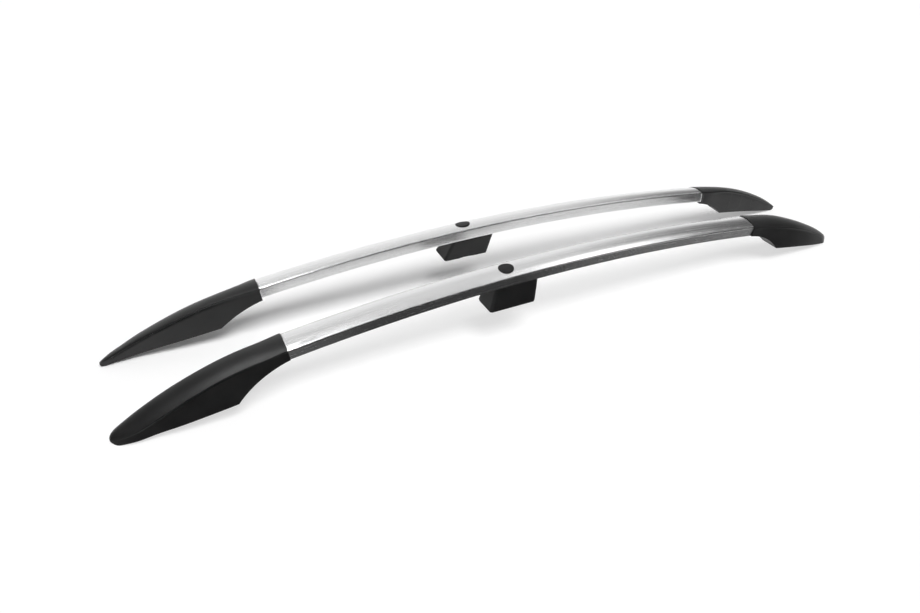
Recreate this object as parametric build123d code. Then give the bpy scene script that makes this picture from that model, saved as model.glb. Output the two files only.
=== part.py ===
"""A pair of roof side rails: arched hollow tubes on hollow end feet, each with a mid support."""
import os
from math import asin, cos, degrees, radians, sin, sqrt, tan
from build123d import *

os.makedirs("parts", exist_ok=True)

# Whole rail, in millimetres and degrees
RAIL_LENGTH = 1492.0
RAIL_SPACING = 176.0
TOE_IN = 0.955
ROLL_OUT = 7.5

# Tube section and bend
TUBE_W = 45.5
TUBE_SIDE = 19.4
TUBE_RISE = 5.0
TUBE_WALL = 2.0
TUBE_LOW_R = 1.0
TUBE_CREASE_R = 2.0
TUBE_BEND = 3700.0
TUBE_CROWN_Z = 108.4
TUBE_CROWN_X = 15.0

# Feet, shared
FOOT_WALL = 3.0
FOOT_PROUD = 1.8
FOOT_LIP = 2.6
FOOT_BULKHEAD = 7.0
FOOT_OVERRUN = 13.0
NOSE_REST = 9.0
NOSE_LIFT = 4.0
BASE_BOW = 1.0
NOSE_SOLID_ROWS = 3
RIDGE_R = 1.8
COVE_DROP = 9.0
COVE_FADE = 0.6
COVE_AT_TUBE = 0.05
COVE_NOSE = 0.3
RIB_T = 2.4
SPIGOT_LENGTH = 45.0
SPIGOT_WALL = 3.0
SPIGOT_CLEAR = 0.25
SPIGOT_ROOT = 4.0

# Front foot
FRONT_LENGTH = 290.0
FRONT_HEEL = 208.0
FRONT_HEEL_Z = 31.0
FRONT_HEEL_SKEW = 0.28
FRONT_ARCH_SAG = 5.0
FRONT_ARCH_FLARE = 0.08
FRONT_COVE = 3.0
FRONT_RIBS = (0.33, 0.47, 0.61)
FRONT_PAD = (0.17, 0.67)
FRONT_PAD_SLANT = 30.0

# Rear foot
REAR_LENGTH = 243.0
REAR_HEEL = 171.0
REAR_HEEL_Z = 31.0
REAR_HEEL_SKEW = 0.0
REAR_ARCH_SAG = 6.4
REAR_ARCH_FLARE = 0.07
REAR_COVE = 1.6
REAR_RIBS = (0.34, 0.48, 0.62)
REAR_PAD = (0.32, 0.66)
REAR_PAD_SLANT = 0.0

# Bonding pads
PAD_T = 10.0
PAD_CLEAR = 0.8
PAD_LIFT = 0.5

# Mid support
SUPPORT_X = -53.5
SUPPORT_TOP_L = 85.0
SUPPORT_TOP_W = 41.0
SUPPORT_TOP_OFF = 16.0
SUPPORT_FOOT_L = 92.0
SUPPORT_FOOT_W = 51.0
SUPPORT_FOOT_OFF = -0.5
SUPPORT_OUT = 9.5
SUPPORT_FOOT_Z = 70.6
SUPPORT_CORNER = 6.0
SUPPORT_WALL = 3.0
SUPPORT_ROOF = 4.0
SUPPORT_RIB = 18.0
BOSS_D = 8.5
CENTRE_BOSS_D = 15.0

# Base plate under the mid support
PLATE_T = 3.0
PLATE_MARGIN = 1.0
PLATE_WAVE_L = 30.0
PLATE_WAVE = 1.6
SLOT_L = 18.0
SLOT_W = 11.0
SLOT_OFF = 8.0
PLATE_HOLE_PITCH = 46.0
PLATE_HOLE_OFF = -11.0

# Fixings
PLATE_SCREW_D = 4.2
PLATE_SCREW_L = 24.0
PLATE_HEAD_D = 8.2
FOOT_SCREW_D = 4.2
FOOT_SCREW_L = 13.0
FOOT_SCREW_IN = 22.0
FOOT_HEAD_D = 8.0
FOOT_HEAD_T = 2.6
FOOT_BOSS_D = 10.0
SUPPORT_SCREW_D = 6.0
SUPPORT_SCREW_L = 24.0
SUPPORT_HEAD_D = 12.0
SUPPORT_HEAD_T = 4.0
HOLE_CLEAR = 0.4
GRIP_CLEAR = 0.05
RECESS_T = 1.0
RECESS_SHARE = 0.62

# Hole plug in the tube's top
PLUG_D = 28.5
PLUG_HOLE_D = 23.0
PLUG_CAP = 0.8
PLUG_SKIRT = 7.0
PLUG_SKIRT_WALL = 1.8
PLUG_CLEAR = 0.2

# Foot stations from the tip to the tube: share of length, then as shares of half the tube's width
# base inner, base outer, crease inner, crease outer, then as shares of the tube's crease height
# crease inner and crease outer, and last the dome rise as a share of the tube's
FRONT_ROWS = [
    (0.0007, 0.20, 0.34, 0.18, 0.32, 0.060, 0.054, 0.1),
    (0.004, 0.06, 0.42, 0.02, 0.38, 0.082, 0.064, 0.2),
    (0.021, 0.02, 0.68, -0.18, 0.50, 0.128, 0.084, 0.4),
    (0.063, 0.03, 1.02, -0.31, 0.80, 0.199, 0.122, 0.6),
    (0.132, 0.03, 1.27, -0.42, 1.02, 0.304, 0.192, 0.8),
    (0.226, -0.02, 1.36, -0.53, 1.14, 0.435, 0.317, 0.9),
    (0.348, -0.18, 1.54, -0.65, 1.16, 0.586, 0.475, 0.9),
    (0.488, -0.38, 1.66, -0.73, 1.12, 0.733, 0.636, 0.9),
    (0.627, -0.53, 1.72, -0.78, 1.06, 0.856, 0.766, 0.9),
    (0.767, -0.62, 1.66, -0.81, 1.05, 0.945, 0.859, 0.95),
    (0.889, -0.70, 1.41, -0.86, 1.10, 0.998, 0.928, 1.0),
]
REAR_ROWS = [
    (0.0008, 0.16, 0.26, 0.12, 0.22, 0.060, 0.056, 0.1),
    (0.005, 0.07, 0.34, 0.02, 0.28, 0.086, 0.074, 0.2),
    (0.021, 0.04, 0.50, -0.06, 0.38, 0.120, 0.098, 0.4),
    (0.057, 0.00, 0.82, -0.15, 0.60, 0.180, 0.152, 0.6),
    (0.131, -0.07, 1.08, -0.29, 0.79, 0.298, 0.268, 0.8),
    (0.254, -0.15, 1.26, -0.42, 0.94, 0.470, 0.433, 0.9),
    (0.398, -0.20, 1.34, -0.53, 1.03, 0.648, 0.591, 0.95),
    (0.541, -0.28, 1.39, -0.64, 1.08, 0.798, 0.712, 1.0),
    (0.664, -0.35, 1.38, -0.70, 1.10, 0.900, 0.796, 1.0),
    (0.787, -0.44, 1.32, -0.78, 1.10, 0.965, 0.875, 1.0),
    (0.889, -0.57, 1.23, -0.86, 1.12, 1.003, 0.933, 1.0),
]

HALF_W = TUBE_W / 2
HALF_L = RAIL_LENGTH / 2
BIG = 4 * TUBE_W
REACH = TUBE_W
OUT = Vector(0, cos(radians(ROLL_OUT)), -sin(radians(ROLL_OUT)))
UP = Vector(0, sin(radians(ROLL_OUT)), cos(radians(ROLL_OUT)))
CROWN = Vector(TUBE_CROWN_X, 0, TUBE_CROWN_Z)
BEND_AXIS = Axis((TUBE_CROWN_X, 0, TUBE_CROWN_Z - TUBE_BEND), (0, 1, 0))
SECTION = Plane(origin=CROWN, x_dir=OUT, z_dir=(1, 0, 0))
SEAT = Plane(origin=CROWN, x_dir=(1, 0, 0), z_dir=UP)


def arc_at(x):
    """Length along the tube's underside from the crown to a station."""
    return TUBE_BEND * asin((x - TUBE_CROWN_X) / TUBE_BEND)


def under_z(x):
    """Height of the tube's underside at a station."""
    return TUBE_CROWN_Z - TUBE_BEND + sqrt(TUBE_BEND**2 - (x - TUBE_CROWN_X) ** 2)


def to_arc(shape, s):
    """Carries a shape built at the crown round the bend."""
    return shape.rotate(BEND_AXIS, degrees(s / TUBE_BEND))


def bent(sketch, start, stop):
    """Sweeps a flat section along the tube's bend between two arc lengths."""
    face = to_arc(SECTION * sketch, start)
    return revolve(face, axis=BEND_AXIS, revolution_arc=degrees((stop - start) / TUBE_BEND))


def tube_section(inset):
    """Tube outline drawn in from the outside by an even amount."""
    half = HALF_W - inset
    crease = TUBE_SIDE - inset * TUBE_RISE / HALF_W
    edges = [
        Line((-half, inset), (half, inset)),
        Line((half, inset), (half, crease)),
        ThreePointArc((half, crease), (0, TUBE_SIDE + TUBE_RISE - inset), (-half, crease)),
        Line((-half, crease), (-half, inset)),
    ]
    face = make_face(edges)
    corners = face.vertices().sort_by(Axis.Y)
    face = fillet(corners[:2], max(TUBE_LOW_R - inset, TUBE_WALL / 4))
    corners = face.vertices().filter_by(lambda v: abs(v.Y - crease) < TUBE_WALL / 4)
    return fillet(corners, max(TUBE_CREASE_R - inset, TUBE_WALL / 4))


def above_section(height):
    """Everything above a height in the tube's section."""
    return Pos(0, height + BIG / 2) * Rectangle(BIG, BIG)


def cylinder_up(d, low, high, x=0.0, y=0.0):
    """Upright round bar between two heights."""
    return Pos(x, y, (low + high) / 2) * Cylinder(d / 2, high - low)


def recess(d, top, depth):
    """Cross-shaped driver recess cut down from a head's top."""
    bar = Box(d * RECESS_SHARE, RECESS_T, depth)
    return Pos(0, 0, top - depth / 2) * (bar + Rot(0, 0, 90) * bar)


def pan_screw(d, length, head_d, head_t):
    """Pan head screw pointing down, with its head's seat at zero."""
    head = chamfer(cylinder_up(head_d, 0, head_t).edges().sort_by(Axis.Z)[-1], head_t / 3)
    body = head + cylinder_up(d, -length, 0)
    body = chamfer(body.edges().sort_by(Axis.Z)[0], d / 5)
    return body - recess(head_d, head_t, head_t * RECESS_SHARE)


def flat_screw(d, length, head_d):
    """Countersunk screw pointing down, with its head's top at zero."""
    sink = (head_d - d) / 2
    head = Pos(0, 0, -sink / 2) * Cone(d / 2, head_d / 2, sink)
    body = head + cylinder_up(d, -length, -sink)
    body = chamfer(body.edges().sort_by(Axis.Z)[0], d / 5)
    return body - recess(head_d, 0, sink * RECESS_SHARE)


def foot_side(base, crease, other, depth):
    """Flat panel, cove and ridge that climb from the base to the dome, and the dome's edge."""
    fall, chord = base - crease, other - crease
    down, over = fall.normalized(), chord.normalized()
    inward = (over - down * over.dot(down)).normalized()
    drop = min(COVE_DROP, fall.length / 3)
    sink = inward * (depth * drop / COVE_DROP)
    ridge = min(RIDGE_R, fall.length / 5, chord.length / 5)
    knee, low, high = crease + down * drop + sink, crease + down * ridge, crease + over * ridge
    edges = [
        Edge.make_line(base, knee),
        Edge.make_three_point_arc(knee, (knee + low + sink) * 0.5, low),
        Edge.make_three_point_arc(low, crease + (low + high - crease * 2) * 0.3, high),
    ]
    return edges, high


class Foot:
    """Hollow end foot, open below, with a spigot that enters the tube."""

    def __init__(self, end, rows, length, heel, heel_z, skew, sag, flare, cove, ribs, pad, slant):
        self.end, self.rows, self.length = end, rows, length
        self.heel, self.heel_z, self.skew = heel, heel_z, skew
        self.sag, self.flare, self.cove = sag, flare, cove
        self.ribs, self.pad_span, self.slant = ribs, pad, slant
        self.joint = arc_at(self.x(length))
        self.joint_z = under_z(self.x(length))

    def x(self, u):
        return self.end * (HALF_L - u)

    def base_z(self, u):
        """Height of the open base, which is lifted at the tip and climbs a roof's crown to the heel."""
        if u < NOSE_REST:
            return NOSE_LIFT * (1 - u / NOSE_REST) ** 2
        t = (u - NOSE_REST) / (self.heel - NOSE_REST)
        return self.heel_z * t + 4 * BASE_BOW * t * (1 - t)

    def row(self, share):
        """Station values at a share of the length, blended between the rows and the tube."""
        rows = self.rows + [self.tube_row()]
        for low, high in zip(rows, rows[1:]):
            if share <= high[0]:
                t = (share - low[0]) / (high[0] - low[0])
                return tuple(a + (b - a) * t for a, b in zip(low, high))
        return rows[-1]

    def tube_row(self):
        """Station just past the joint, where the foot takes the tube's outline."""
        u = self.length + FOOT_OVERRUN
        z = under_z(self.x(u))
        half, side = HALF_W + FOOT_PROUD, TUBE_SIDE + FOOT_PROUD / 2
        corner_in, corner_out = UP * side - OUT * half, UP * side + OUT * half
        lean = tan(radians(ROLL_OUT))
        fall_in = z + corner_in.Z - self.base_z(u)
        fall_out = z + corner_out.Z - self.base_z(u)
        crease_z = self.joint_z + TUBE_SIDE
        return (
            u / self.length,
            (corner_in.Y - fall_in * lean) / HALF_W,
            (corner_out.Y - fall_out * lean) / HALF_W,
            corner_in.Y / HALF_W,
            corner_out.Y / HALF_W,
            (z + corner_in.Z) / crease_z,
            (z + corner_out.Z) / crease_z,
            (TUBE_RISE + FOOT_PROUD / 2) / TUBE_RISE,
        )

    def ring(self, row, inset, drop):
        """Closed outline of one station, drawn in by an amount and its base let down."""
        share, base_in, base_out, crease_in, crease_out, in_z, out_z, rise = row
        u = share * self.length
        x, crease_z = self.x(u), self.joint_z + TUBE_SIDE
        low = self.base_z(u) - drop
        a = Vector(x, base_in * HALF_W + inset, low)
        b = Vector(x, base_out * HALF_W - inset, low)
        c = Vector(x, crease_out * HALF_W - inset, out_z * crease_z - inset)
        d = Vector(x, crease_in * HALF_W + inset, in_z * crease_z - inset)
        depth = self.cove * max(COVE_AT_TUBE, min(1.0, (1 - share) / (1 - COVE_FADE)))
        outer_side, start = foot_side(b, c, d, depth * max(COVE_AT_TUBE, min(1.0, share / COVE_NOSE)))
        inner_side, stop = foot_side(a, d, c, depth)
        across = (c - d).normalized()
        top = (c + d) * 0.5 + Vector(0, -across.Z, across.Y) * (rise * TUBE_RISE)
        dome = Edge.make_three_point_arc(start, top, stop)
        return Face(Wire([Edge.make_line(a, b)] + outer_side + [dome] + inner_side))

    def outer(self):
        return loft([self.ring(r, 0, 0) for r in self.rows + [self.tube_row()]])

    def inner(self, inset):
        """Room inside the walls, running out through the open base."""
        rows = self.rows[NOSE_SOLID_ROWS:]
        rows = rows + [self.row(1 - (FOOT_BULKHEAD + inset - FOOT_WALL) / self.length)]
        room = loft([self.ring(r, inset, FOOT_WALL) for r in rows])
        return room - self.arch(inset)

    def arch(self, lift):
        """Space under the arch between heel and tube, raised by an amount and wider at the outer side."""
        return loft([self.arch_face(y, lift) for y in (-REACH, REACH)], ruled=True)

    def arch_face(self, y, lift):
        heel = self.heel - self.skew * y
        start = Vector(heel - lift, y, self.base_z(heel))
        stop = Vector(self.length, y, self.joint_z - FOOT_LIP + lift)
        run = stop - start
        normal = Vector(-run.Z, 0, run.X).normalized()
        mid = (start + stop) * 0.5 + normal * (self.sag + self.flare * y + lift / 4)
        far, low = self.length + 2 * FOOT_OVERRUN, -FOOT_WALL
        points = [start, mid, stop, Vector(far, y, stop.Z), Vector(far, y, low), Vector(start.X, y, low)]
        flat = [Vector(self.x(p.X), y, p.Z) for p in points]
        edges = [Edge.make_three_point_arc(*flat[:3])]
        edges += [Edge.make_line(p, q) for p, q in zip(flat[2:], flat[3:] + flat[:1])]
        return Face(Wire(edges))

    def above_base(self, lift):
        """Everything higher than the open base raised by an amount."""
        steps = [self.length * n / 8 for n in range(9)]
        low = [Vector(self.x(u), 0, self.base_z(u) + lift) for u in steps]
        start, stop = Vector(low[0].X, 0, BIG), Vector(low[-1].X, 0, BIG)
        edges = [Edge.make_spline(low)]
        edges += [Edge.make_line(p, q) for p, q in ((low[-1], stop), (stop, start), (start, low[0]))]
        return extrude(Face(Wire(edges)), BIG / 2, dir=(0, 1, 0), both=True)

    def slab(self, low, high):
        """Slice of the foot between two distances from the tip."""
        mid, width = (low + high) / 2, high - low
        return Pos(self.x(mid), 0, 0) * Box(width, BIG, RAIL_LENGTH)

    def body(self):
        joint_cut = [self.joint, self.joint - self.end * BIG]
        shell = self.outer() - bent(Rectangle(BIG, BIG), min(joint_cut), max(joint_cut)) - self.arch(0)
        shell = shell - self.inner(FOOT_WALL)
        webs = self.inner(FOOT_WALL / 2) & self.above_base(PAD_LIFT + PAD_T)
        for share in self.ribs:
            u = share * self.length
            shell = shell + (webs & self.slab(u - RIB_T / 2, u + RIB_T / 2))
        return shell + self.spigot()

    def spigot(self):
        """Hollow tongue that fills the tube's end, with a boss for the foot screw."""
        fit = TUBE_WALL + SPIGOT_CLEAR
        ring = tube_section(fit) - tube_section(fit + SPIGOT_WALL)
        ends = [self.joint + self.end * SPIGOT_ROOT, self.joint - self.end * SPIGOT_LENGTH]
        tongue = bent(ring, min(ends), max(ends))
        boss = cylinder_up(FOOT_BOSS_D, fit + SPIGOT_WALL / 2, FOOT_SCREW_L - TUBE_WALL)
        pilot = cylinder_up(FOOT_SCREW_D + 2 * GRIP_CLEAR, 0, FOOT_SCREW_L)
        return tongue + self.at_screw(boss) - self.at_screw(pilot)

    def at_screw(self, shape):
        return to_arc(SEAT * shape, self.joint - self.end * FOOT_SCREW_IN)

    def screw(self):
        screw = pan_screw(FOOT_SCREW_D, FOOT_SCREW_L - TUBE_WALL, FOOT_HEAD_D, FOOT_HEAD_T)
        return self.at_screw(Pos(0, 0, -GRIP_CLEAR) * Rot(180, 0, 0) * screw)

    def pad(self):
        """Soft block that fills the open base and bonds to the roof."""
        low, high = (share * self.length for share in self.pad_span)
        room = self.inner(FOOT_WALL + PAD_CLEAR) & self.slab(low, high)
        block = (room - self.above_base(PAD_LIFT + PAD_T)) & self.above_base(PAD_LIFT)
        if self.slant:
            inside, edge = self.x(low), -BIG / 2
            points = [(inside, edge), (inside - self.end * self.slant, edge), (inside, BIG / 4)]
            block = block - extrude(Polygon(*points, align=None), RAIL_LENGTH, both=True)
        return block


FRONT = Foot(-1, FRONT_ROWS, FRONT_LENGTH, FRONT_HEEL, FRONT_HEEL_Z, FRONT_HEEL_SKEW, FRONT_ARCH_SAG,
             FRONT_ARCH_FLARE, FRONT_COVE, FRONT_RIBS, FRONT_PAD, FRONT_PAD_SLANT)
REAR = Foot(1, REAR_ROWS, REAR_LENGTH, REAR_HEEL, REAR_HEEL_Z, REAR_HEEL_SKEW, REAR_ARCH_SAG,
            REAR_ARCH_FLARE, REAR_COVE, REAR_RIBS, REAR_PAD, REAR_PAD_SLANT)
SUPPORT_ARC = arc_at(SUPPORT_X)


def tube():
    """Bent hollow extrusion with its plug hole and screw holes."""
    body = bent(tube_section(0) - tube_section(TUBE_WALL), FRONT.joint, REAR.joint)
    plug_hole = cylinder_up(PLUG_HOLE_D, TUBE_SIDE / 2, BIG)
    screw_hole = cylinder_up(SUPPORT_SCREW_D + HOLE_CLEAR, -TUBE_WALL, TUBE_SIDE / 2)
    body = body - to_arc(SEAT * plug_hole, SUPPORT_ARC) - to_arc(SEAT * screw_hole, SUPPORT_ARC)
    for foot in (FRONT, REAR):
        body = body - foot.at_screw(cylinder_up(FOOT_SCREW_D + HOLE_CLEAR, -TUBE_WALL, TUBE_SIDE / 2))
    return body


def support_block(inset, roof):
    """Leaning block between the tube's underside and the base plate."""
    low = Pos(SUPPORT_X + SUPPORT_FOOT_OFF, SUPPORT_OUT, SUPPORT_FOOT_Z - inset)
    corner = SUPPORT_CORNER - inset / 2
    foot = low * RectangleRounded(SUPPORT_FOOT_L - 2 * inset, SUPPORT_FOOT_W - 2 * inset, corner)
    seat = RectangleRounded(SUPPORT_TOP_L - 2 * inset, SUPPORT_TOP_W - 2 * inset, corner)
    block = loft([foot, to_arc(SEAT * Pos(SUPPORT_TOP_OFF, 0, SUPPORT_ROOF) * seat, SUPPORT_ARC)])
    over = bent(above_section(-roof), SUPPORT_ARC - SUPPORT_TOP_L, SUPPORT_ARC + SUPPORT_TOP_L)
    return block - over


def plate_screw_spots():
    return [(SUPPORT_X + side * PLATE_HOLE_PITCH / 2, SUPPORT_OUT + PLATE_HOLE_OFF) for side in (-1, 1)]


def mid_support():
    """Hollow support with bosses for the plate screws and the tube screw."""
    block = support_block(0, 0)
    body = block - support_block(SUPPORT_WALL, SUPPORT_ROOF)
    tall = cylinder_up(BOSS_D, SUPPORT_FOOT_Z, TUBE_CROWN_Z)
    for x, y in plate_screw_spots():
        body = body + (block & (Pos(x, y) * tall))
    boss = cylinder_up(CENTRE_BOSS_D, -SUPPORT_SCREW_L - SUPPORT_ROOF, 0)
    body = body + (block & to_arc(SEAT * boss, SUPPORT_ARC))
    rib = Box(BIG, RIB_T, 2 * SUPPORT_RIB) + Box(RIB_T, BIG, 2 * SUPPORT_RIB)
    body = body + (support_block(SUPPORT_WALL / 2, 0) & to_arc(SEAT * rib, SUPPORT_ARC))
    pilot = cylinder_up(SUPPORT_SCREW_D + 2 * GRIP_CLEAR, -SUPPORT_SCREW_L - TUBE_WALL, TUBE_WALL)
    body = body - to_arc(SEAT * pilot, SUPPORT_ARC)
    tip = SUPPORT_FOOT_Z - PLATE_T + PLATE_SCREW_L + TUBE_WALL
    for x, y in plate_screw_spots():
        body = body - cylinder_up(PLATE_SCREW_D + 2 * GRIP_CLEAR, 0, tip, x, y)
    return body


def base_plate():
    """Plate between support and roof, with one waved edge, a fixing slot and two screw holes."""
    length, width = SUPPORT_FOOT_L - 2 * PLATE_MARGIN, SUPPORT_FOOT_W - 2 * PLATE_MARGIN
    outline = Pos(SUPPORT_FOOT_OFF, 0) * RectangleRounded(length, width, SUPPORT_CORNER - PLATE_MARGIN)
    radius = PLATE_WAVE_L**2 / (8 * PLATE_WAVE) + PLATE_WAVE / 2
    outline = outline - Pos(SUPPORT_FOOT_OFF, PLATE_WAVE - width / 2 - radius) * Circle(radius)
    outline = outline - Pos(0, SLOT_OFF) * SlotOverall(SLOT_L, SLOT_W)
    plate = Pos(SUPPORT_X, SUPPORT_OUT, SUPPORT_FOOT_Z - PLATE_T) * extrude(outline, PLATE_T)
    sink = (PLATE_HEAD_D - PLATE_SCREW_D) / 2
    low = SUPPORT_FOOT_Z - PLATE_T
    for x, y in plate_screw_spots():
        plate = plate - cylinder_up(PLATE_SCREW_D + HOLE_CLEAR, low, SUPPORT_FOOT_Z, x, y)
        wide = Cone((PLATE_HEAD_D + HOLE_CLEAR) / 2, (PLATE_SCREW_D + HOLE_CLEAR) / 2, sink)
        plate = plate - Pos(x, y, low + sink / 2) * wide
    return plate


def plate_screw(spot):
    x, y = spot
    screw = flat_screw(PLATE_SCREW_D, PLATE_SCREW_L, PLATE_HEAD_D)
    return Pos(x, y, SUPPORT_FOOT_Z - PLATE_T) * Rot(180, 0, 0) * screw


def support_screw():
    """Screw set from inside the tube that draws the support up to it."""
    screw = pan_screw(SUPPORT_SCREW_D, SUPPORT_SCREW_L, SUPPORT_HEAD_D, SUPPORT_HEAD_T)
    return to_arc(SEAT * Pos(0, 0, TUBE_WALL) * screw, SUPPORT_ARC)


def hole_plug():
    """Cap that follows the tube's top, with a skirt in the hole."""
    dome = bent(tube_section(-PLUG_CAP) - tube_section(0), SUPPORT_ARC - PLUG_D, SUPPORT_ARC + PLUG_D)
    cap = dome & to_arc(SEAT * cylinder_up(PLUG_D, TUBE_SIDE, BIG), SUPPORT_ARC)
    top = TUBE_SIDE + TUBE_RISE
    skirt_d = PLUG_HOLE_D - 2 * PLUG_CLEAR
    skirt = cylinder_up(skirt_d, top - PLUG_SKIRT, top + PLUG_CAP / 2)
    cut = cylinder_up(skirt_d - 2 * PLUG_SKIRT_WALL, top - PLUG_SKIRT, top - PLUG_CAP)
    return to_arc(SEAT * (skirt - cut), SUPPORT_ARC) + cap


def right_rail():
    """Every piece of the rail on the positive Y side, by name."""
    spots = plate_screw_spots()
    return {
        "rail_tube": tube(),
        "front_foot": FRONT.body(),
        "rear_foot": REAR.body(),
        "mid_support": mid_support(),
        "base_plate": base_plate(),
        "hole_plug": hole_plug(),
        "front_pad": FRONT.pad(),
        "rear_pad": REAR.pad(),
        "front_foot_screw": FRONT.screw(),
        "rear_foot_screw": REAR.screw(),
        "support_screw": support_screw(),
        "plate_screw_front": plate_screw(spots[0]),
        "plate_screw_rear": plate_screw(spots[1]),
    }


def export(name, shape):
    """Writes one piece as a single solid under its node name."""
    solids = shape.solids()
    body = solids[0] if len(solids) == 1 else Compound(solids)
    body.label = name
    export_step(body, f"parts/{name}.step")


place = Pos(0, RAIL_SPACING / 2, 0) * Rot(0, 0, -TOE_IN)
pair = {}
for name, shape in right_rail().items():
    placed = place * shape
    pair[f"right_{name}"] = placed
    pair[f"left_{name}"] = mirror(placed, Plane.XZ)
box = Compound([s for shape in pair.values() for s in shape.solids()]).bounding_box()
centre = Pos(-(box.min.X + box.max.X) / 2, 0, -box.min.Z)
for name, shape in pair.items():
    export(name, centre * shape)
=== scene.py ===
"""Looks of the roof side rail pair: materials, soft pads, floor, light and camera."""
from math import pi, radians

import bpy
from mathutils import Matrix, Vector


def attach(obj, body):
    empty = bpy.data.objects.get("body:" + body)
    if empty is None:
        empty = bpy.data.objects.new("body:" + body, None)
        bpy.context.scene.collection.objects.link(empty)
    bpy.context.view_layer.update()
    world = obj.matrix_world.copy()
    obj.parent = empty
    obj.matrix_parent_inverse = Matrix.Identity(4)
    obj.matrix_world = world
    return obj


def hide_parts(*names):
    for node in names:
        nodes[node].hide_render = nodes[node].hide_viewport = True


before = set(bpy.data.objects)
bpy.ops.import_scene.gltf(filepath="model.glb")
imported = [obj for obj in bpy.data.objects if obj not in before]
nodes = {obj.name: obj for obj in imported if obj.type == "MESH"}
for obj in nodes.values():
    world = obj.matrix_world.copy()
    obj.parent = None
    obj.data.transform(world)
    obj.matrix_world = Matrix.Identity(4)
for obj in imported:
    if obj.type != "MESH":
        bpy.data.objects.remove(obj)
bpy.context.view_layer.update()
scene = bpy.context.scene

# The tubes' bend, its highest point, and the rails' middle line with its toe-in
BEND_RADIUS, CROWN_X = 3.7, 0.015
RAIL_Y, TOE_IN = 0.088, 0.0167

# Rounding of the tube's inner crease and the feet's inner ridge, which stops where a surface turns down
CREASE_SOFT, RIDGE_SOFT, SOFT_SAMPLES = 0.0045, 0.006, 6
TURNS_DOWN = (-0.3, -0.18)

# Noise values between which a tone runs from its low end to its high end
NOISE_LOW, NOISE_HIGH = 0.3, 0.7

# Colours
METAL_DARK, METAL_PALE = (0.80, 0.80, 0.805), (0.93, 0.93, 0.93)
STEEL_DARK, STEEL_PALE = (0.6, 0.6, 0.6), (0.75, 0.75, 0.74)
JET, BLACK, SOOT = (0.004, 0.004, 0.004), (0.007, 0.007, 0.0072), (0.012, 0.012, 0.0122)
FOAM_DARK, FOAM_PALE = (0.016, 0.016, 0.016), (0.03, 0.03, 0.03)
RUBBER_DARK, RUBBER_PALE = (0.02, 0.02, 0.02), (0.032, 0.032, 0.032)

# Roughness from low to high, how far plastic strays from its own, and how much the drawn lines are stretched
METAL_ROUGH, STEEL_ROUGH, FOAM_ROUGH = (0.19, 0.29), (0.2, 0.32), (0.8, 0.95)
PLASTIC_SMOOTHER, PLASTIC_ROUGHER, PLASTIC_SHINE = 0.06, 0.08, 0.36
LINE_STRETCH = 0.012

# Foam pads: grid of the skin, passes that round its edges, and size and depth of its lumps
PAD_GRID, PAD_PASSES, LUMP_SIZE, LUMP_DEPTH = 0.0012, 4, 0.006, 0.0005

# Camera, solved for a frame 920 pixels wide and 613 high
FRAME_W, FOCAL, SENSOR = 920, 800, 36.0
EYE = (-0.62989, -1.16484, 0.85928)
RIGHT = Vector((0.90968, -0.41529, -0.00400))
UP = Vector((0.23310, 0.50257, 0.83252))

# Floor: half its side, diffuse tone and glow at the back and the front, and where front and rear begin; the
# stronger glow in front and to the rear paints the cast shadow fainter there
FLOOR_HALF = 8.0
FLOOR_TONES, FLOOR_GLOW = (0.93, 0.40), (0.07, 0.62)
FLOOR_FRONT_Y, FLOOR_REAR_X, REAR_SHARE = (-0.02, 0.06), (-0.1, 0.3), 0.45

# Dark cards beside the tubes, seen only in reflections as painted dark reflections: tones along X, ends,
# edge, height at the crown, and reach away from the rails
CARD_TONES = ((0.0, 0.12), (0.2, 0.05), (0.5, 0.045), (0.62, 0.09), (0.8, 0.12), (1.0, 0.15))
CARD_TONES_X = (-0.5, 0.5)
CARD_X, CARD_STEPS, CARD_EDGE_Y, CARD_Z = (-0.46, 0.68), 24, 0.121, 0.069
LONG_REACH, SHORT_REACH, SHORT_FROM_X, BACK_REACH = 1.2, 0.2, 0.12, 0.15

# Dark cards that lie before the front and rear feet, seen only in reflections as painted dark reflections
END_CARDS = (("card_front", (-1.5, -0.42)), ("card_rear", (0.68, 1.5)))
END_CARD_Y, END_CARD_Z = (-0.15, -1.6), 0.002

# World: even light, and the tones in reflections by climb, from the back over the top to the front
AMBIENT = 0.25
SKY_TONES = (
    (0.0, 0.98), (0.1, 0.93), (0.2, 0.86), (0.28, 0.76), (0.34, 0.7),
    (0.42, 0.66), (0.5, 0.62), (0.56, 0.03), (1.0, 0.03),
)

# Dimming of the sky in reflections by the rise of a ray, and by how far it turns to the rear or the front
DIM_ABOVE = (0.1, 0.4, 0.0, 1.0)
REAR_DIM, FRONT_DIM = (0.5, 0.74, 0.0, 0.88), (-0.52, -0.3, 0.9, 0.0)

# Soft boxes: span along X and span of climb, each with a soft margin, and strength
FRONT_BOX_X, FRONT_BOX_CLIMB, FRONT_BOX_LIGHT = (-0.3, -0.1, 0.08), (0.51, 0.68, 0.04), 10.0
REAR_BOX_X, REAR_BOX_CLIMB, REAR_BOX_LIGHT = (0.48, 0.64, 0.05), (0.45, 0.58, 0.04), 1.6

# Key lamp
KEY_ENERGY, KEY_ANGLE, KEY_AIM = 2.75, 32, Vector((-0.1, 0.47, -0.88))


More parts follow.
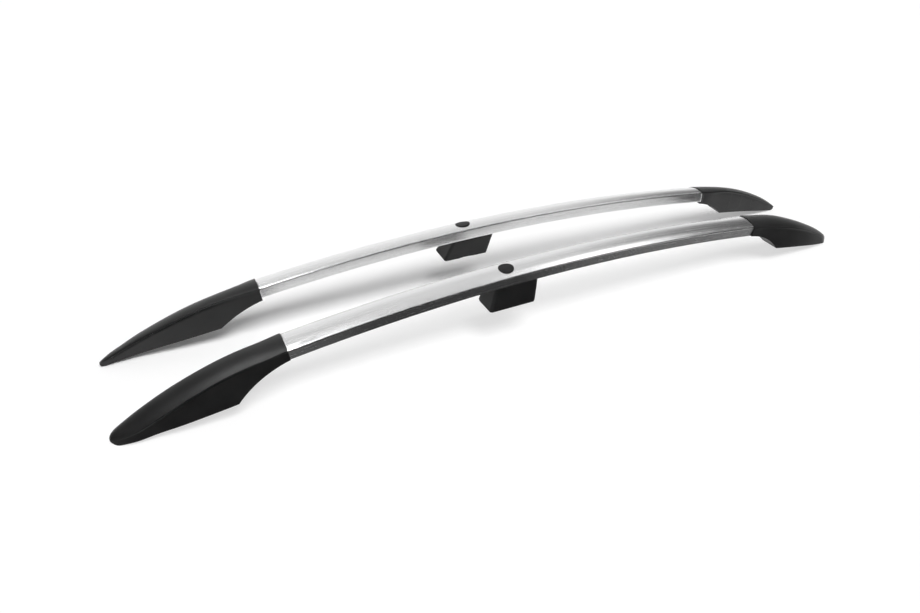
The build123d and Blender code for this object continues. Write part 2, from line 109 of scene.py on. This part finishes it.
class Nodes:
    """Short way to build a node tree."""

    def __init__(self, tree):
        self.tree = tree
        tree.nodes.clear()

    def add(self, kind, settings=None, **inputs):
        node = self.tree.nodes.new(kind)
        for name, value in (settings or {}).items():
            setattr(node, name, value)
        for name, value in inputs.items():
            self.put(node, name.replace("_", " "), value)
        return node

    def put(self, node, name, value):
        socket = node.inputs[int(name)] if name.isdigit() else node.inputs[name]
        if isinstance(value, bpy.types.NodeSocket):
            self.tree.links.new(value, socket)
        else:
            socket.default_value = value

    def math(self, operation, a, b=0.0):
        node = self.add("ShaderNodeMath", {"operation": operation})
        self.put(node, "0", a)
        self.put(node, "1", b)
        return node.outputs[0]

    def axes(self, vector):
        return self.add("ShaderNodeSeparateXYZ", Vector=vector).outputs

    def place(self):
        """Point on the surface in the object's own frame."""
        return self.add("ShaderNodeTexCoord").outputs["Object"]

    def span(self, value, low, high, to_low, to_high):
        """Runs from one level to another while a value runs between two limits."""
        node = self.add("ShaderNodeMapRange", Value=value)
        limits = {"From Min": low, "From Max": high, "To Min": to_low, "To Max": to_high}
        for name, number in limits.items():
            node.inputs[name].default_value = number
        return node.outputs[0]

    def spread(self, noise, low=0.0, high=1.0):
        """Spreads a noise over two levels."""
        return self.span(noise, NOISE_LOW, NOISE_HIGH, low, high)

    def window(self, value, low, high, soft):
        """One between two limits, with a soft margin outside them."""
        rise = self.span(value, low - soft, low, 0, 1)
        return self.math("MULTIPLY", rise, self.span(value, high, high + soft, 1, 0))

    def ramp(self, factor, stops):
        """Grey levels at the given places."""
        node = self.add("ShaderNodeValToRGB", Fac=factor)
        elements = node.color_ramp.elements
        for place, level in stops[1:-1]:
            elements.new(place)
        for element, (place, level) in zip(elements, stops):
            element.position, element.color = place, (level, level, level, 1)
        return node.outputs["Color"]

    def shared(self, a, b, share):
        """Mean of two values, the first weighted by its share."""
        return self.math("ADD", self.math("MULTIPLY", a, share), self.math("MULTIPLY", b, 1 - share))

    def noise(self, vector, scale, detail=2.0, rough=0.5):
        node = self.add("ShaderNodeTexNoise", Vector=vector, Scale=scale, Detail=detail, Roughness=rough)
        return node.outputs["Fac"]

    def cells(self, vector, scale):
        return self.add("ShaderNodeTexVoronoi", Vector=vector, Scale=scale).outputs["Distance"]

    def blend(self, factor, low, high):
        """Colour between two others, by the colour sockets of a mix node."""
        node = self.add("ShaderNodeMix", {"data_type": "RGBA"})
        self.put(node, "0", factor)
        self.put(node, "6", (*low, 1.0))
        self.put(node, "7", (*high, 1.0))
        return node.outputs[2]

    def soft_inside(self, radius, axes):
        """Normal rounded over the upward edges of a rail's inner side, and plain elsewhere."""
        toe = self.math("MULTIPLY", axes["X"], TOE_IN)
        inside = self.math("LESS_THAN", self.math("ADD", self.math("ABSOLUTE", axes["Y"]), toe), RAIL_Y)
        rounded = self.add("ShaderNodeBevel", {"samples": SOFT_SAMPLES}, Radius=radius).outputs[0]
        upward = self.span(self.axes(rounded)["Z"], *TURNS_DOWN, 0, 1)
        node = self.add("ShaderNodeMix", {"data_type": "VECTOR"})
        self.put(node, "0", self.math("MULTIPLY", inside, upward))
        self.put(node, "4", self.add("ShaderNodeNewGeometry").outputs["Normal"])
        self.put(node, "5", rounded)
        return node.outputs[1]

    def bump(self, height, strength, distance, normal=None):
        node = self.add("ShaderNodeBump", Height=height, Strength=strength, Distance=distance)
        if normal is not None:
            self.put(node, "Normal", normal)
        return node.outputs["Normal"]


def new_paint(name):
    """Material with an empty node tree."""
    paint = bpy.data.materials.new(name)
    paint.use_nodes = True
    return paint, Nodes(paint.node_tree)


def new_material(name):
    """Material with a principled shader, and the point that its patterns follow."""
    material, n = new_paint(name)
    shader = n.add("ShaderNodeBsdfPrincipled")
    n.add("ShaderNodeOutputMaterial", Surface=shader.outputs[0])
    return material, n, n.place(), shader


def satin_metal():
    """Drawn aluminium with fine lines that follow the tube's bend."""
    material, n, where, shader = new_material("satin_aluminium")
    axes = n.axes(where)
    along = n.math("SUBTRACT", axes["X"], CROWN_X)
    fall = n.math("DIVIDE", n.math("MULTIPLY", along, along), 2 * BEND_RADIUS)
    level = n.math("ADD", axes["Z"], fall)
    stretched = n.math("MULTIPLY", along, LINE_STRETCH)
    lines = n.add("ShaderNodeCombineXYZ", X=stretched, Y=axes["Y"], Z=level).outputs[0]
    fine = n.noise(lines, scale=2600.0, detail=3.0, rough=0.6)
    broad = n.noise(lines, scale=300.0)
    cloud = n.noise(where, scale=9.0)
    drawn = n.shared(fine, broad, share=0.6)
    tone = n.shared(drawn, cloud, share=0.8)
    crease = n.soft_inside(CREASE_SOFT, axes)
    n.put(shader, "Base Color", n.blend(n.spread(tone), METAL_DARK, METAL_PALE))
    n.put(shader, "Roughness", n.spread(drawn, *METAL_ROUGH))
    n.put(shader, "Normal", n.bump(fine, strength=0.25, distance=0.00012, normal=crease))
    shader.inputs["Metallic"].default_value = 1.0
    return material


def grained_plastic(name, dark, pale, grain, rough, ridge=None):
    """Moulded black plastic with an eroded grain, and a rounded inner ridge where one is given."""
    material, n, where, shader = new_material(name)
    pits = n.noise(where, scale=grain, detail=4.0, rough=0.62)
    cloud = n.noise(where, scale=26.0, detail=3.0)
    n.put(shader, "Base Color", n.blend(n.spread(cloud), dark, pale))
    n.put(shader, "Roughness", n.spread(pits, rough - PLASTIC_SMOOTHER, rough + PLASTIC_ROUGHER))
    rise = n.shared(pits, n.cells(where, scale=grain * 0.8), share=0.6)
    normal = n.soft_inside(ridge, n.axes(where)) if ridge else None
    n.put(shader, "Normal", n.bump(rise, strength=0.5, distance=0.00025, normal=normal))
    shader.inputs["Specular IOR Level"].default_value = PLASTIC_SHINE
    return material


def foam():
    """Closed-cell foam rubber with small pores."""
    material, n, where, shader = new_material("pad_foam")
    pores = n.cells(where, scale=900.0)
    cloud = n.noise(where, scale=60.0, detail=3.0)
    n.put(shader, "Base Color", n.blend(n.spread(cloud), FOAM_DARK, FOAM_PALE))
    n.put(shader, "Roughness", n.span(pores, 0.0, 0.6, *FOAM_ROUGH))
    n.put(shader, "Normal", n.bump(pores, strength=0.6, distance=0.0004))
    return material


def bright_steel():
    """Zinc-bright steel with a faint grain."""
    material, n, where, shader = new_material("bright_steel")
    grain = n.noise(where, scale=1500.0, detail=3.0)
    n.put(shader, "Base Color", n.blend(n.spread(grain), STEEL_DARK, STEEL_PALE))
    n.put(shader, "Roughness", n.spread(grain, *STEEL_ROUGH))
    n.put(shader, "Normal", n.bump(grain, strength=0.15, distance=0.0001))
    shader.inputs["Metallic"].default_value = 1.0
    return material


LOOKS = {
    "rail_tube": satin_metal(),
    "foot": grained_plastic("foot_plastic", BLACK, SOOT, grain=1300.0, rough=0.4, ridge=RIDGE_SOFT),
    "mid_support": grained_plastic("support_plastic", BLACK, SOOT, grain=1500.0, rough=0.5),
    "hole_plug": grained_plastic("plug_plastic", JET, BLACK, grain=1700.0, rough=0.5),
    "base_plate": grained_plastic("plate_rubber", RUBBER_DARK, RUBBER_PALE, grain=700.0, rough=0.72),
    "pad": foam(),
    "screw": bright_steel(),
}


def look_of(name):
    """Material for a node by the kind of piece that its name gives."""
    if "_screw" in name:
        return LOOKS["screw"]
    return next(look for kind, look in LOOKS.items() if name.endswith(kind))


def foam_pad(node_name):
    """Soft block with rounded edges and an uneven skin, in place of the plain solid."""
    pad = bpy.data.objects.new(node_name + "_foam", nodes[node_name].data.copy())
    scene.collection.objects.link(pad)
    grid = pad.modifiers.new("even", "REMESH")
    grid.mode, grid.voxel_size, grid.use_smooth_shade = "VOXEL", PAD_GRID, True
    soft = pad.modifiers.new("soft", "SMOOTH")
    soft.factor, soft.iterations = 0.5, PAD_PASSES
    lumps = bpy.data.textures.new(node_name, "CLOUDS")
    lumps.noise_scale = LUMP_SIZE
    skin = pad.modifiers.new("skin", "DISPLACE")
    skin.texture, skin.strength, skin.mid_level = lumps, LUMP_DEPTH, 1.0
    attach(pad, "root")
    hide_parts(node_name)


def add_camera():
    """Camera at the photo's angle."""
    data = bpy.data.cameras.new("camera")
    data.sensor_fit, data.sensor_width = "HORIZONTAL", SENSOR
    data.lens = SENSOR * FOCAL / FRAME_W
    camera = bpy.data.objects.new("camera", data)
    scene.collection.objects.link(camera)
    turn = Matrix((RIGHT, UP, RIGHT.cross(UP))).transposed().to_4x4()
    camera.matrix_world = Matrix.Translation(EYE) @ turn
    scene.camera = camera


def strip(name, edges, material):
    """Sheet through pairs of points along its length, which dresses the stage."""
    mesh = bpy.data.meshes.new(name)
    faces = [(i, i + 1, i + 3, i + 2) for i in range(0, 2 * len(edges) - 2, 2)]
    mesh.from_pydata([point for edge in edges for point in edge], [], faces)
    mesh.materials.append(material)
    piece = bpy.data.objects.new(name, mesh)
    scene.collection.objects.link(piece)
    return piece


def floor_paint():
    """White floor that keeps the shadow, with a glow where it is seen, stronger in front and to the rear,
    which paints the shadow fainter there.
    """
    paint, n = new_paint("floor_white")
    path = n.add("ShaderNodeLightPath").outputs
    mirrored = n.math("MAXIMUM", path["Is Glossy Ray"], path["Is Transmission Ray"])
    seen = n.math("MAXIMUM", path["Is Camera Ray"], mirrored)
    axes = n.axes(n.place())
    rear = n.span(axes["X"], *FLOOR_REAR_X, 0, REAR_SHARE)
    # Painted light: in front and to the rear the floor has less diffuse tone and more glow, so the cast
    # shadow shows paler there
    front = n.math("MAXIMUM", n.span(axes["Y"], *FLOOR_FRONT_Y, 1, 0), rear)
    tone = n.blend(front, *[(level, level, level) for level in FLOOR_TONES])
    glow = n.math("MULTIPLY", seen, n.span(front, 0, 1, *FLOOR_GLOW))
    both = n.add("ShaderNodeAddShader")
    n.put(both, "0", n.add("ShaderNodeBsdfDiffuse", Color=tone).outputs[0])
    n.put(both, "1", n.add("ShaderNodeEmission", Strength=glow).outputs[0])
    n.add("ShaderNodeOutputMaterial", Surface=both.outputs[0])
    return paint


def card_paint():
    """Dark card that gives off its own tones along the rails, as a painted dark reflection."""
    paint, n = new_paint("card_dark")
    level = n.ramp(n.span(n.axes(n.place())["X"], *CARD_TONES_X, 0, 1), CARD_TONES)
    n.add("ShaderNodeOutputMaterial", Surface=n.add("ShaderNodeEmission", Strength=level).outputs[0])
    return paint


def add_cards():
    """Dark cards that only reflections show: two follow the tubes' bend, and two lie before the feet."""
    paint = card_paint()
    start, stop = CARD_X
    front, back = [], []
    for i in range(CARD_STEPS + 1):
        x = start + (stop - start) * i / CARD_STEPS
        z = CARD_Z - (x - CROWN_X) ** 2 / (2 * BEND_RADIUS)
        reach = LONG_REACH if x < SHORT_FROM_X else SHORT_REACH
        front.append(((x, -CARD_EDGE_Y, z), (x, -reach, z)))
        back.append(((x, CARD_EDGE_Y, z), (x, BACK_REACH, z)))
    cards = [strip("card_tube", front, paint), strip("card_back", back, paint)]
    for name, ends in END_CARDS:
        cards.append(strip(name, [[(x, y, END_CARD_Z) for y in END_CARD_Y] for x in ends], paint))
    for card in cards:
        card.visible_camera = card.visible_diffuse = False
        card.visible_shadow = card.visible_transmission = False


def add_world():
    """White to the camera, even for light, and a studio with a bright back for reflections."""
    world = bpy.data.worlds.new("studio")
    world.use_nodes = True
    n = Nodes(world.node_tree)
    path = n.add("ShaderNodeLightPath").outputs
    aim = n.axes(n.add("ShaderNodeTexCoord").outputs["Generated"])
    climb = n.math("DIVIDE", n.math("ARCTAN2", aim["Z"], aim["Y"]), pi)
    ends = n.math("ADD", n.span(aim["X"], *REAR_DIM), n.span(aim["X"], *FRONT_DIM))
    dim = n.math("MULTIPLY", n.span(aim["Z"], *DIM_ABOVE), ends)
    sky = n.math("MULTIPLY", n.ramp(climb, SKY_TONES), n.math("SUBTRACT", 1.0, dim))
    front_side = n.math("POWER", n.window(aim["X"], *FRONT_BOX_X), 2.0)
    front_box = n.math("MULTIPLY", front_side, n.window(climb, *FRONT_BOX_CLIMB))
    rear_box = n.math("MULTIPLY", n.window(aim["X"], *REAR_BOX_X), n.window(climb, *REAR_BOX_CLIMB))
    front_light = n.math("MULTIPLY", front_box, FRONT_BOX_LIGHT)
    boxes = n.math("ADD", front_light, n.math("MULTIPLY", rear_box, REAR_BOX_LIGHT))
    mirrored = n.add("ShaderNodeBackground", Color=(1, 1, 1, 1), Strength=n.math("ADD", sky, boxes))
    even = n.add("ShaderNodeBackground", Color=(1, 1, 1, 1), Strength=AMBIENT)
    white = n.add("ShaderNodeBackground", Color=(1, 1, 1, 1), Strength=1.0)
    light = n.add("ShaderNodeMixShader", Fac=path["Is Glossy Ray"])
    n.put(light, "1", even.outputs[0])
    n.put(light, "2", mirrored.outputs[0])
    seen = n.math("MAXIMUM", path["Is Camera Ray"], path["Is Transmission Ray"])
    shown = n.add("ShaderNodeMixShader", Fac=seen)
    n.put(shown, "1", light.outputs[0])
    n.put(shown, "2", white.outputs[0])
    n.add("ShaderNodeOutputWorld", Surface=shown.outputs[0])
    scene.world = world


def add_key():
    """One broad soft lamp above the front, which reflections don't show."""
    data = bpy.data.lights.new("key", "SUN")
    data.energy, data.angle = KEY_ENERGY, radians(KEY_ANGLE)
    lamp = bpy.data.objects.new("key", data)
    lamp.rotation_euler = KEY_AIM.to_track_quat("-Z", "Y").to_euler()
    lamp.visible_glossy = False
    scene.collection.objects.link(lamp)


for name, node in nodes.items():
    node.data.materials.clear()
    node.data.materials.append(look_of(name))
for name in nodes:
    if name.endswith("_pad"):
        foam_pad(name)

floor_ends = (-FLOOR_HALF, FLOOR_HALF)
strip("floor", [[(x, y, 0) for y in floor_ends] for x in floor_ends], floor_paint())
add_cards()
add_world()
add_key()
add_camera()

scene.view_settings.view_transform = "Standard"
